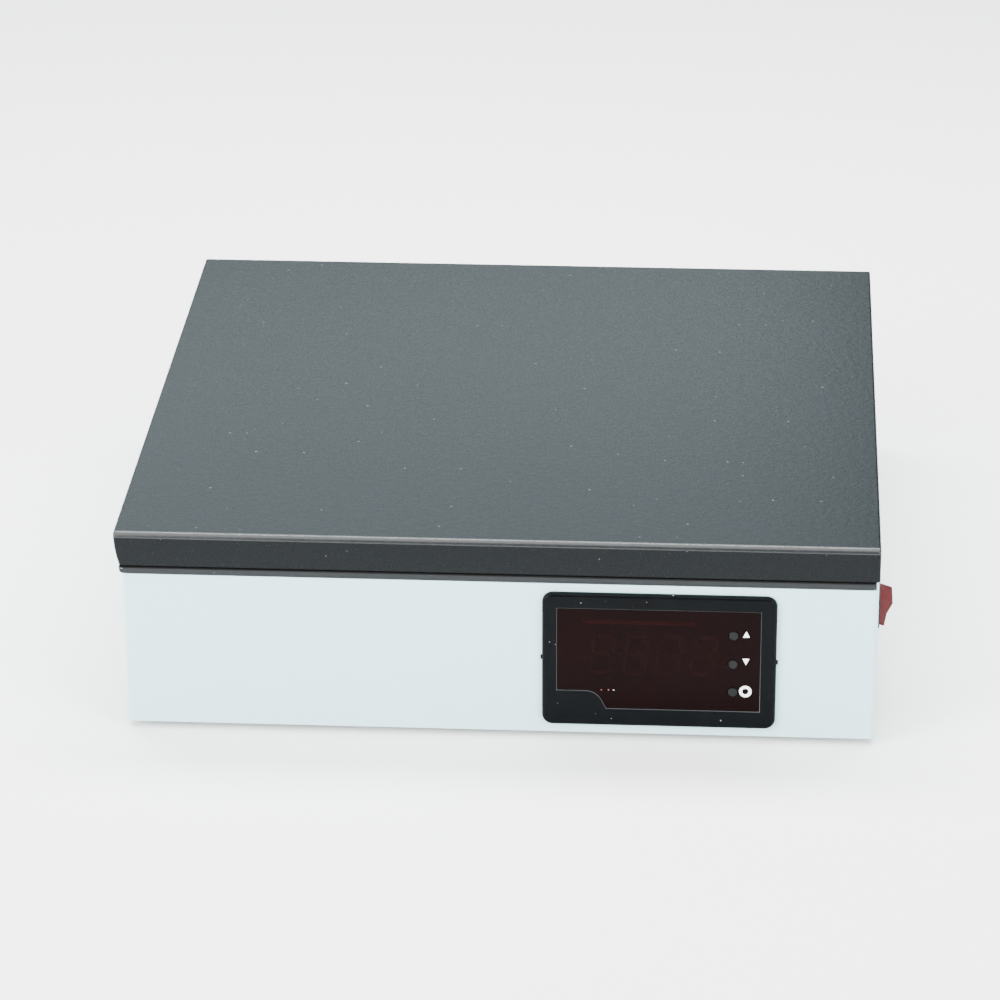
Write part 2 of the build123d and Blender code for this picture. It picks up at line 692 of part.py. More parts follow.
inlet_face = wall_back + inlet_proud
inlet = rearward(inlet_flange_x, inlet_flange_z, wall_back, inlet_face)
inlet = fillet(inlet.edges().filter_by(Axis.Y), 3.0)
inlet = chamfer(inlet.faces().sort_by(Axis.Y)[-1].edges(), 0.6)
inlet += rearward(inlet_body_x, inlet_body_z, wall_back - inlet_depth, wall_back)
socket = rearward(socket_x, socket_z, inlet_face - socket_depth, inlet_face + 1, socket_up)
upper_edges = [edge for edge in socket.edges().filter_by(Axis.Y) if edge.center().Z > inlet_z + socket_up]
inlet -= chamfer(upper_edges, 4.6)
inlet -= rearward(drawer_x, drawer_z, inlet_face - drawer_depth, inlet_face + 1, drawer_down)
for x, z in inlet_screw_places:
    inlet -= rod((x, wall_back - 1, z), (x, inlet_face + 1, z), panel_screw_radius + hole_gap)
nodes["inlet_body"] = inlet

drawer = rearward(drawer_x - 0.2, drawer_z - 0.2, inlet_face - drawer_depth, inlet_face + 0.4, drawer_down)
fuse_bay = rearward(drawer_x - 4.0, drawer_z, inlet_face - drawer_depth + 1, inlet_face - 2.0,
                    drawer_down + 1.4)
nodes["fuse_drawer"] = drawer - fuse_bay
fuse_radius = 2.2
nodes["fuse"] = rod((inlet_x - 8.8, inlet_face - 10.0, inlet_z + drawer_down + 0.3),
                    (inlet_x + 8.8, inlet_face - 10.0, inlet_z + drawer_down + 0.3), fuse_radius)

pin_places = [(-7.0, -1.5), (0.0, 2.2), (7.0, -1.5)]
inlet_blade_end = wall_back - inlet_depth - 7.0
pins = []
for dx, dz in pin_places:
    centre_x = inlet_x + dx
    centre_z = inlet_z + socket_up + dz
    pins.append(slab(centre_x - 1.0, centre_x + 1.0, inlet_face - socket_depth, inlet_face - 1.5,
                     centre_z - 2.0, centre_z + 2.0))
    pins.append(slab(centre_x - 0.4, centre_x + 0.4, inlet_blade_end, wall_back - inlet_depth,
                     centre_z - 2.4, centre_z + 2.4))
nodes["inlet_pins"] = group(pins)

# ---------------------------------------------------------------- electronics bay
relay_width = 58.0
relay_length = 45.0
relay_height = 24.0
relay_margin = 8.0         # plate beyond the relay
relay_plate_thickness = 3.0
relay_x0 = middle_x - 138.0
relay_y0 = behind(26.0)
relay_x1 = relay_x0 + relay_width
relay_y1 = relay_y0 + relay_length
relay_z = z_cover + relay_plate_thickness
relay_top = relay_z + relay_height
nodes["relay_plate"] = slab(relay_x0 - relay_margin, relay_x1 + relay_margin, relay_y0 - relay_margin,
                            relay_y1 + relay_margin, z_cover, relay_z)
relay = slab(relay_x0, relay_x1, relay_y0, relay_y1, relay_z, relay_top)
relay = fillet(relay.edges().filter_by(Axis.Z), 2.0)
relay_posts = [(x, y) for x in (relay_x0 + 8, relay_x1 - 8) for y in (relay_y0 + 7, relay_y1 - 7)]
for x, y in relay_posts:
    relay -= rod((x, y, relay_top - 5), (x, y, relay_top + 1), 4.2)
    contact_screws.append(screw((x, y, relay_top - 4), (0, 0, 1), 1.9, 1.0, head_height=2.4))
nodes["solid_state_relay"] = relay

block_terminals = 6
strip_pitch = 11.0
strip_depth = 16.0
strip_height = 15.0
strip_row = 4.5            # each row of screws to the middle of the strip
strip_x0 = middle_x - 54.0
strip_y = behind(84.0)
strip_seat = z_cover + 9
strip = slab(strip_x0, strip_x0 + block_terminals * strip_pitch, strip_y - strip_depth / 2,
             strip_y + strip_depth / 2, z_cover, z_cover + strip_height)
for i in range(block_terminals):
    x = strip_x0 + (i + 0.5) * strip_pitch
    for y in (strip_y - strip_row, strip_y + strip_row):
        strip -= rod((x, y, strip_seat), (x, y, z_cover + strip_height + 1), terminal_screw_radius + 0.2)
        contact_screws.append(rod((x, y, strip_seat), (x, y, strip_seat + 3), terminal_screw_radius))
nodes["terminal_strip"] = strip
nodes["contact_screws"] = group(contact_screws)

stud_x = wall_right - 52.0
stud_y = behind(93.0)
stud_top = z_cover + 16.0
nodes["earth_stud"] = (rod((stud_x, stud_y, z_cover), (stud_x, stud_y, stud_top), 2.0)
                       + Pos(stud_x, stud_y, z_cover) * extrude(RegularPolygon(4.0, 6), amount=3.2))

# leads along their real routes
lane_x = (insulation_out[1] + wall_right - sheet) / 2
turn_y = (inlet_blade_end + insulation_out[3]) / 2
lead_front = insulation_out[2] - 5


def side_lane(pin, level):
    """The points of a lead from an inlet blade and along the right side of the insulation."""
    x = inlet_x + pin_places[pin][0]
    z = inlet_z + socket_up + pin_places[pin][1]
    return [(x, inlet_blade_end, z), (x, turn_y, z), (x + 18, turn_y + 0.5, (z + level) / 2),
            (lane_x - 14, turn_y + 0.8, level), (lane_x, turn_y, level),
            (lane_x, insulation_out[3] - 24, level - 1), (lane_x + 1.5, chamber_middle_y + 46, level - 2),
            (lane_x - 0.5, chamber_middle_y - 18, level), (lane_x + 0.5, chamber_middle_y - 73, level + 1)]


def switch_lead(pin, blade, level):
    """A mains lead that ends on a blade of the switch."""
    z = switch_z + blade_heights[blade]
    return wire(side_lane(pin, level) + [
        (lane_x, lead_front, level), (lane_x - 14, lead_front - 12, z), (blade_tip_x - 15, switch_y + 10, z),
        (blade_tip_x - 14, switch_y, z), (blade_tip_x, switch_y, z)], lead_radius)


earth_lead = wire(side_lane(1, above(60.0)) + [
    (lane_x, lead_front, above(56.0)), (stud_x + 16, stud_y - 6, above(46.0)),
    (stud_x, stud_y, above(38.0)), (stud_x, stud_y, stud_top)], lead_radius)
nodes["mains_leads"] = group([switch_lead(0, 0, above(30.0)), switch_lead(2, 2, above(46.0)), earth_lead])
switched_z = switch_z + blade_heights[1]
strip_end_x = strip_x0 + (block_terminals - 0.5) * strip_pitch
nodes["switched_lead"] = wire([
    (blade_tip_x, switch_y, switched_z), (blade_tip_x - 24, switch_y, switched_z),
    (blade_tip_x - 38, switch_y + 9, above(54)), (stud_x - 53, behind(93), above(66)),
    (strip_end_x + 39, behind(92), above(62)), (strip_end_x + 8, strip_y - strip_row, above(42)),
    (strip_end_x, strip_y - strip_row, above(32)), (strip_end_x, strip_y - strip_row, strip_seat + 3)],
    lead_radius)
nodes["probe_lead"] = wire([
    (probe_x, probe_start, probe_z), (probe_x, probe_start - 8, probe_z),
    (probe_x + 20, probe_start - 14, probe_z + 6), (bezel_x - 4.5, housing_back + 20, bezel_z - 2),
    (bezel_x - 4.5, housing_back + 7.0, bezel_z - 2)], lead_radius * 0.8)
heater_leads = []
for i, x in enumerate(heater_lead_x):
    target = strip_end_x + (i - 1) * strip_pitch
    heater_leads.append(wire([
        (x, chamber_front + 1, z_mat + mat_thickness / 2), (x, lead_front, z_mat + mat_thickness / 2),
        (target + 6, lead_front - 5, z_mat + 8), (target, strip_y + strip_row, z_mat + 6),
        (target, strip_y + strip_row, strip_seat + 3)], mat_thickness / 2 - 0.01))
nodes["heater_leads"] = group(heater_leads)


# ---------------------------------------------------------------- lid
def lid_block(inset, top):
    """The solid inside the lid, set in from its outer faces, with the left rim curving in."""
    left = wall_left - lid_over_left + inset
    right = wall_right + lid_over_right - inset
    front_view = Plane(origin=(0, wall_front + inset, 0), x_dir=(1, 0, 0), z_dir=(0, -1, 0))
    height = top - z_rim
    outline = Polyline((left, top), (right, top), (right, z_rim), (left + lid_lean, z_rim))
    outline += ThreePointArc((left + lid_lean, z_rim), (left + lid_lean / 4, z_rim + height / 2), (left, top))
    return extrude(front_view * make_face(outline), amount=-(base_depth - 2 * inset))


def fold(block, inset):
    """Round a lid block's front bend, then its other bends and upright corners."""
    long_edges = block.faces().sort_by(Axis.Z)[-1].edges().filter_by(Axis.X).sort_by(Axis.Y)
    block = fillet(long_edges[0], lid_bend - inset)
    if lid_edge - inset < 0.5:
        return block
    block = fillet(block.faces().sort_by(Axis.Z)[-1].edges().filter_by(Axis.X).sort_by(Axis.Y)[-1], lid_edge)
    ends = [edge for edge in block.edges() if edge.center().Z > z_rim + 1 and (
        abs(edge.center().X - block.bounding_box().min.X) < lid_lean
        or abs(edge.center().X - block.bounding_box().max.X) < 0.1)]
    return fillet(ends, lid_edge)


lid_shell = fold(lid_block(0, z_top), 0) - fold(lid_block(lid_sheet, z_top - lid_sheet), lid_sheet)
for x, z in hinge_screw_places(lid_leaf_height, 1):
    lid_shell -= rod((x, wall_back - 5, z), (x, wall_back + 1, z), panel_screw_radius + hole_gap)
nodes["lid_shell"] = lid_shell

liner_left = wall_left - lid_over_left + lid_sheet + lid_lean + liner_inset
liner_right = wall_right + lid_over_right - lid_sheet - liner_inset
liner_front = wall_front + lid_sheet + liner_inset
liner_back = wall_back - lid_sheet - liner_inset
liner_foot = z_gasket + fit_gap
pan = rounded(liner_left, liner_right, liner_front, liner_back, liner_foot, z_liner + liner_sheet, 3.0)
pan -= rounded(liner_left + liner_sheet, liner_right - liner_sheet, liner_front + liner_sheet,
               liner_back - liner_sheet, liner_foot - 1, z_liner, 2.2)
stud_places = [(middle_x + dx, behind(base_depth / 2) + dy)
               for dx, dy in grid(base_width / 2 - 40, base_depth / 2 - 40, 3, 3)]
lid_fill = slab(liner_left, liner_right, liner_front, liner_back, z_liner + liner_sheet, z_top - lid_sheet)
lid_fill = fillet(lid_fill.edges().filter_by(Axis.Z), 3.0)
for x, y in stud_places:
    pan -= rod((x, y, z_liner - 1), (x, y, z_liner + 3), panel_screw_radius + hole_gap)
    lid_fill -= rod((x, y, z_liner), (x, y, z_top), 3.5)
nodes["lid_liner"] = pan
nodes["lid_insulation"] = lid_fill
nodes["liner_screws"] = group([
    screw((x, y, z_liner), (0, 0, -1), panel_screw_radius, lid_insulation_thickness, head_height=1.4)
    for x, y in stud_places])
nodes["lid_spacers"] = group([
    rod((x, y, z_liner + liner_sheet), (x, y, z_top - lid_sheet), 3.2)
    - rod((x, y, z_liner), (x, y, z_top - lid_sheet - 0.8), panel_screw_radius) for x, y in stud_places])


# ---------------------------------------------------------------- hinges
knuckle_length = (hinge_width - (knuckle_count - 1) * seat_gap) / knuckle_count


def knuckle_span(x, index):
    start = x - hinge_width / 2 + index * (knuckle_length + seat_gap)
    return start, start + knuckle_length


def make_leaf(x, height, direction, first, bore):
    """One leaf with its knuckles: direction is 1 for the lid's leaf and -1 for the base's."""
    reach = knuckle_radius + 2 * fit_gap
    low, high = sorted((hinge_z + direction * reach, hinge_z + direction * height))
    leaf = slab(x - hinge_width / 2, x + hinge_width / 2, wall_back, wall_back + leaf_thickness, low, high)
    outer = [edge for edge in leaf.edges().filter_by(Axis.Y)
             if abs(edge.center().Z - (hinge_z + direction * height)) < 0.1]
    leaf = fillet(outer, 2.0)
    for index in range(first, knuckle_count, 2):
        x0, x1 = knuckle_span(x, index)
        low, high = sorted((hinge_z, hinge_z + direction * (reach + 0.5)))
        leaf += slab(x0, x1, wall_back + fit_gap, wall_back + leaf_thickness, low, high)
        leaf += rod((x0, hinge_y, hinge_z), (x1, hinge_y, hinge_z), knuckle_radius)
    leaf -= rod((x - hinge_width, hinge_y, hinge_z), (x + hinge_width, hinge_y, hinge_z), bore)
    for screw_x, z in hinge_screw_places(height, direction):
        leaf -= rod((screw_x, wall_back - 1, z), (screw_x, wall_back + 5, z), panel_screw_radius + hole_gap)
    return leaf


nodes["hinge_base_leaves"] = group([
    make_leaf(x, base_leaf_height, -1, 0, hinge_pin_radius) for x in hinge_places])
nodes["hinge_lid_leaves"] = group([
    make_leaf(x, lid_leaf_height, 1, 1, hinge_pin_radius + hinge_pin_play) for x in hinge_places])
nodes["hinge_pins"] = group([
    rod((x - hinge_width / 2 - 0.6, hinge_y, hinge_z), (x + hinge_width / 2 + 0.6, hinge_y, hinge_z),
        hinge_pin_radius) for x in hinge_places])
leaf_face = wall_back + leaf_thickness
nodes["back_wall_screws"] = group(
    [screw((x, leaf_face, z), (0, 1, 0), panel_screw_radius, 6.0, head_height=1.4)
     for x, z in hinge_screw_places(base_leaf_height, -1)]
    + [screw((x, inlet_face, z), (0, 1, 0), panel_screw_radius, 9.0, head_height=1.6)
       for x, z in inlet_screw_places])
nodes["hinge_lid_screws"] = group([
    screw((x, leaf_face, z), (0, 1, 0), panel_screw_radius, 4.6, head_height=1.4)
    for x, z in hinge_screw_places(lid_leaf_height, 1)])

# ---------------------------------------------------------------- write the pieces
os.makedirs("parts", exist_ok=True)
for name, shape in nodes.items():
    export_step(shape, "parts/" + name + ".step")
print(len(nodes), "nodes written")
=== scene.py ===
"""Looks of a bench dry block heater: finishes, edged pieces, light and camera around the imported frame."""

import logging
import math
from dataclasses import dataclass, field
from enum import Enum

import bmesh
import bpy
from mathutils import Matrix, Vector


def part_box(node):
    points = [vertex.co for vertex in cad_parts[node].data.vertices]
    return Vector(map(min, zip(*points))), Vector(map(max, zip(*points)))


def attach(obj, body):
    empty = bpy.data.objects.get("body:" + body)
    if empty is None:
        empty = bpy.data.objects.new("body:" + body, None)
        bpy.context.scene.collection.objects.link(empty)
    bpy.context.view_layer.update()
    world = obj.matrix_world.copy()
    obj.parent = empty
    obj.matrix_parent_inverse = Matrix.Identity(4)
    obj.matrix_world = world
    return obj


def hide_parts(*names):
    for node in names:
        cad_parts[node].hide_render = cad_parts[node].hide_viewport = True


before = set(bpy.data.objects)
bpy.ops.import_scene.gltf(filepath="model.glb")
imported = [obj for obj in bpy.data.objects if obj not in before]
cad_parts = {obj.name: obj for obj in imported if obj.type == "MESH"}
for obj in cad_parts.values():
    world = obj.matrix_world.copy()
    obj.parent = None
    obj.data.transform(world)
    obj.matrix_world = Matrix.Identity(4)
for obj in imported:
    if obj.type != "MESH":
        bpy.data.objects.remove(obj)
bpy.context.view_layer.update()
MM = 0.001
log = logging.getLogger("heater")

Colour = tuple[float, float, float]

WHITE: Colour = (1.0, 1.0, 1.0)
EVEN: Colour = (1.0, 1.0, 1.0)
MERGE_DISTANCE = 0.001 * MM
FLAT_ANGLE = math.radians(0.6)


class Body(Enum):
    """The moving bodies that pieces ride on."""

    BASE = "base"
    LID = "lid"
    ROCKER = "rocker"
    UP = "up_key"
    DOWN = "down_key"
    SET = "set_key"


class Lay(Enum):
    """Direction of the brushing on a metal face, as a stretch of the pattern on each axis."""

    ALONG_X = (0.02, 1.0, 1.0)
    ALONG_Y = (1.0, 0.02, 1.0)
    CAST = (1.0, 1.0, 1.0)


# ------------------------------------------------------------------ material building
class Recipe:
    """One material and the nodes that feed its surface shader."""

    SPECK_SHARE = (0.35, 0.85)

    def __init__(self, name: str) -> None:
        """Start a material with a single surface shader.

        Args:
            name: the material's name.
        """
        self.material = bpy.data.materials.new(name)
        self.material.use_nodes = True
        self.tree = self.material.node_tree
        self.shader = self.tree.nodes["Principled BSDF"]
        self.place = self.tree.nodes.new("ShaderNodeTexCoord").outputs["Object"]

    def set(self, **sockets: float | Colour) -> None:
        """Give constant values to the shader's own sockets.

        Args:
            sockets: socket names with underscores for spaces, and their values.
        """
        for name, value in sockets.items():
            socket = self.shader.inputs[name.replace("_", " ")]
            socket.default_value = (*value, 1.0) if isinstance(value, tuple) else value

    def node(self, kind: str, inputs: dict[str, object], **settings: object) -> bpy.types.Node:
        """Add a node, link or set its inputs and set its options.

        Args:
            kind: the node's type.
            inputs: input names with a socket to link from or a value.
            settings: options of the node itself.

        Returns:
            The new node.
        """
        made = self.tree.nodes.new(kind)
        for name, value in settings.items():
            setattr(made, name, value)
        for name, value in inputs.items():
            if isinstance(value, bpy.types.NodeSocket):
                self.tree.links.new(value, made.inputs[name])
            else:
                made.inputs[name].default_value = value
        return made

    def stretched(self, stretch: Colour) -> bpy.types.NodeSocket:
        """The place on the object, stretched along its axes."""
        return self.node("ShaderNodeMapping", {"Vector": self.place, "Scale": stretch}).outputs["Vector"]

    def noise(self, size: float, detail: float = 3.0, stretch: Colour = EVEN) -> bpy.types.NodeSocket:
        """Soft noise.

        Args:
            size: the size of its features in metres.
            detail: how many finer layers it has.
            stretch: scale on each axis, below 1 for a longer feature.

        Returns:
            The socket with values around one half.
        """
        inputs = {"Vector": self.stretched(stretch), "Scale": 1.0 / size, "Detail": detail}
        return self.node("ShaderNodeTexNoise", inputs).outputs["Fac"]

    def dots(self, spacing: float, radius: float) -> bpy.types.NodeSocket:
        """Round specks scattered one to a cell.

        Args:
            spacing: distance between specks in metres.
            radius: largest radius of a speck in metres.

        Returns:
            The socket that is 1 inside a speck and 0 elsewhere.
        """
        cell = self.node("ShaderNodeTexVoronoi", {"Vector": self.place, "Scale": 1.0 / spacing})
        size = self.span(cell.outputs["Color"], *self.SPECK_SHARE, 0.0, radius / spacing)
        inside = self.node("ShaderNodeMath", {0: cell.outputs["Distance"], 1: size}, operation="LESS_THAN")
        return inside.outputs["Value"]

    def span(self, value: bpy.types.NodeSocket, low: float, high: float, out_low: float = 0.0,
             out_high: float = 1.0) -> bpy.types.NodeSocket:
        """Stretch a band of values over another band and clamp it.

        Args:
            value: the values to stretch.
            low: the value that becomes out_low.
            high: the value that becomes out_high.
            out_low: the new low end.
            out_high: the new high end.

        Returns:
            The stretched socket.
        """
        inputs = {"Value": value, "From Min": low, "From Max": high, "To Min": out_low, "To Max": out_high}
        return self.node("ShaderNodeMapRange", inputs).outputs["Result"]

    def blend(self, share: bpy.types.NodeSocket, first: object, second: object) -> bpy.types.NodeSocket:
        """Mix two colours by a share.

        Args:
            share: 0 gives the first colour and 1 the second.
            first: a colour or a socket.
            second: a colour or a socket.

        Returns:
            The mixed colour.
        """
        first, second = ((*c, 1.0) if isinstance(c, tuple) else c for c in (first, second))
        mix = self.node("ShaderNodeMix", {0: share, 6: first, 7: second}, data_type="RGBA")
        return mix.outputs[2]

    def feed(self, socket: str, value: bpy.types.NodeSocket) -> None:
        """Link a pattern into one of the shader's sockets."""
        self.tree.links.new(value, self.shader.inputs[socket])

    def relief(self, *layers: tuple[bpy.types.NodeSocket, float]) -> None:
        """Stack bumps on the surface.

        Args:
            layers: pairs of a height pattern and its full height in metres.
        """
        normal = None
        for height, depth in layers:
            inputs = {"Height": height, "Distance": depth, "Strength": 1.0}
            if normal is not None:
                inputs["Normal"] = normal
            normal = self.node("ShaderNodeBump", inputs).outputs["Normal"]
        self.feed("Normal", normal)


@dataclass(frozen=True)
class PowderCoat:
    """Baked powder paint on sheet metal."""

    name: str
    colour: Colour
    shade: Colour
    roughness: float
    grain: float = 1.2 * MM
    grain_height: float = 0.012 * MM
    mottle: float = 45 * MM
    gloss: float = 0.5
    specks: float = 0.0
    speck_radius: float = 0.6 * MM
    speck_colour: Colour = (0.07, 0.073, 0.075)
    roughness_swing: float = 0.05
    coarse_size: float = 3.5
    coarse_height: float = 1.5

    def make(self) -> bpy.types.Material:
        """Build the material.

        Returns:
            The finished material.
        """
        recipe = Recipe(self.name)
        mottle = recipe.span(recipe.noise(self.mottle, 4.0), 0.35, 0.65)
        colour = recipe.blend(mottle, self.colour, self.shade)
        fine = recipe.noise(self.grain, 2.0)
        coarse = recipe.noise(self.grain * self.coarse_size, 1.0)
        if self.specks:
            colour = recipe.blend(recipe.dots(self.specks, self.speck_radius), colour, self.speck_colour)
        recipe.feed("Base Color", colour)
        smooth, rough = self.roughness - self.roughness_swing, self.roughness + self.roughness_swing
        recipe.feed("Roughness", recipe.span(fine, 0.3, 0.7, smooth, rough))
        recipe.set(Specular_IOR_Level=self.gloss)
        recipe.relief((coarse, self.grain_height * self.coarse_height), (fine, self.grain_height))
        return recipe.material


@dataclass(frozen=True)
class Moulded:
    """Moulded plastic or rubber."""

    name: str
    colour: Colour
    roughness: float
    grain: float = 0.7 * MM
    grain_height: float = 0.006 * MM
    dust: float = 0.0
    gloss: float = 0.5
    # Painted shade: the height above which the colour turns near black, with its blur and colour.
    painted_shade_above: float = 0.0
    painted_shade_blur: float = 0.1 * MM
    painted_shade_colour: Colour = (0.0004, 0.0005, 0.0005)
    dust_radius: float = 0.5 * MM
    dust_colour: Colour = (0.22, 0.225, 0.23)
    cloud: float = 14 * MM
    cloud_gain: float = 1.18
    cloud_lift: float = 0.0004

    def make(self) -> bpy.types.Material:
        """Build the material.

        Returns:
            The finished material.
        """
        recipe = Recipe(self.name)
        cloud = recipe.span(recipe.noise(self.cloud), 0.35, 0.65)
        lighter = tuple(min(1.0, c * self.cloud_gain + self.cloud_lift) for c in self.colour)
        colour = recipe.blend(cloud, self.colour, lighter)
        if self.dust:
            colour = recipe.blend(recipe.dots(self.dust, self.dust_radius), colour, self.dust_colour)
        # Painted shade: near black above the given height, standing in for the lid rim's shadow on the top
        # of the seal.
        if self.painted_shade_above:
            height = recipe.node("ShaderNodeSeparateXYZ", {"Vector": recipe.place}).outputs["Z"]
            start, full = self.painted_shade_above - self.painted_shade_blur, self.painted_shade_above + self.painted_shade_blur
            painted_shade_mask = recipe.span(height, start, full)
            colour = recipe.blend(painted_shade_mask, colour, self.painted_shade_colour)
        recipe.feed("Base Color", colour)
        rough = recipe.span(cloud, 0.0, 1.0, self.roughness - 0.03, self.roughness + 0.04)
        recipe.feed("Roughness", rough)
        recipe.set(Specular_IOR_Level=self.gloss)
        recipe.relief((recipe.noise(self.grain, 2.0), self.grain_height))
        return recipe.material


@dataclass(frozen=True)
class WorkedMetal:
    """Bare metal with a brushed, milled or plated face."""

    name: str
    colour: Colour
    roughness: float
    lay: Lay = Lay.ALONG_X
    line: float = 0.35 * MM
    line_height: float = 0.004 * MM
    stain: float = 30 * MM
    stain_shade: float = 0.86

    def make(self) -> bpy.types.Material:
        """Build the material.

        Returns:
            The finished material.
        """
        recipe = Recipe(self.name)
        lines = recipe.noise(self.line, 4.0, self.lay.value)
        stain = recipe.span(recipe.noise(self.stain, 4.0), 0.3, 0.7)
        darker = tuple(c * self.stain_shade for c in self.colour)
        recipe.feed("Base Color", recipe.blend(stain, self.colour, darker))
        recipe.feed("Roughness", recipe.span(lines, 0.2, 0.8, self.roughness - 0.08, self.roughness + 0.1))
        recipe.set(Metallic=1.0)
        recipe.relief((lines, self.line_height))
        return recipe.material


@dataclass(frozen=True)
class FibreBoard:
    """Pressed ceramic fibre."""

    name: str
    colour: Colour
    strand: float = 1.6 * MM
    strand_lay: Colour = (1.0, 0.35, 1.0)
    strand_height: float = 0.25 * MM
    strand_shade: float = 0.8

    def make(self) -> bpy.types.Material:
        """Build the material.

        Returns:
            The finished material.
        """
        recipe = Recipe(self.name)
        strands = recipe.noise(self.strand, 6.0, self.strand_lay)
        darker = tuple(c * self.strand_shade for c in self.colour)
        recipe.feed("Base Color", recipe.blend(recipe.span(strands, 0.3, 0.7), self.colour, darker))
        recipe.set(Roughness=0.95, Specular_IOR_Level=0.2)
        recipe.relief((strands, self.strand_height))
        return recipe.material


@dataclass(frozen=True)
class FilterSheet:
    """Dark red display filter with dust and fine scuffs on its gloss."""

    name: str = "red_filter"
    colour: Colour = (0.0022, 0.00008, 0.00012)
    warm: Colour = (0.0030, 0.00008, 0.00012)
    cloud: float = 26 * MM
    dust: float = 4.2 * MM
    dust_radius: float = 0.54 * MM
    dust_colour: Colour = (0.11, 0.088, 0.08)
    scuff: float = 2.2 * MM
    scuff_lay: Colour = (1.0, 1.0, 0.25)
    scuff_height: float = 0.002 * MM
    gloss: float = 0.04

    def make(self) -> bpy.types.Material:
        """Build the material.

        Returns:
            The finished material.
        """
        recipe = Recipe(self.name)
        cloud = recipe.span(recipe.noise(self.cloud, 2.0), 0.35, 0.7)
        colour = recipe.blend(cloud, self.colour, self.warm)
        colour = recipe.blend(recipe.dots(self.dust, self.dust_radius), colour, self.dust_colour)
        recipe.feed("Base Color", colour)
        scuff = recipe.noise(self.scuff, 5.0, self.scuff_lay)
        recipe.feed("Roughness", recipe.span(scuff, 0.45, 0.75, 0.12, 0.24))
        recipe.set(Specular_IOR_Level=self.gloss)
        recipe.relief((scuff, self.scuff_height))
        return recipe.material


@dataclass(frozen=True)
class ClearGlass:
    """Clear glass tube."""

    name: str = "clear_glass"
    colour: Colour = (0.85, 0.9, 0.9)
    streaked: Colour = (0.75, 0.82, 0.82)
    streak: float = 3 * MM
    refraction: float = 1.47

    def make(self) -> bpy.types.Material:
        """Build the material.

        Returns:
            The finished material.
        """
        recipe = Recipe(self.name)
        streak = recipe.span(recipe.noise(self.streak, 2.0), 0.3, 0.7)
        recipe.feed("Base Color", recipe.blend(streak, self.colour, self.streaked))
        recipe.set(Roughness=0.05, Transmission_Weight=0.9, IOR=self.refraction)
        return recipe.material


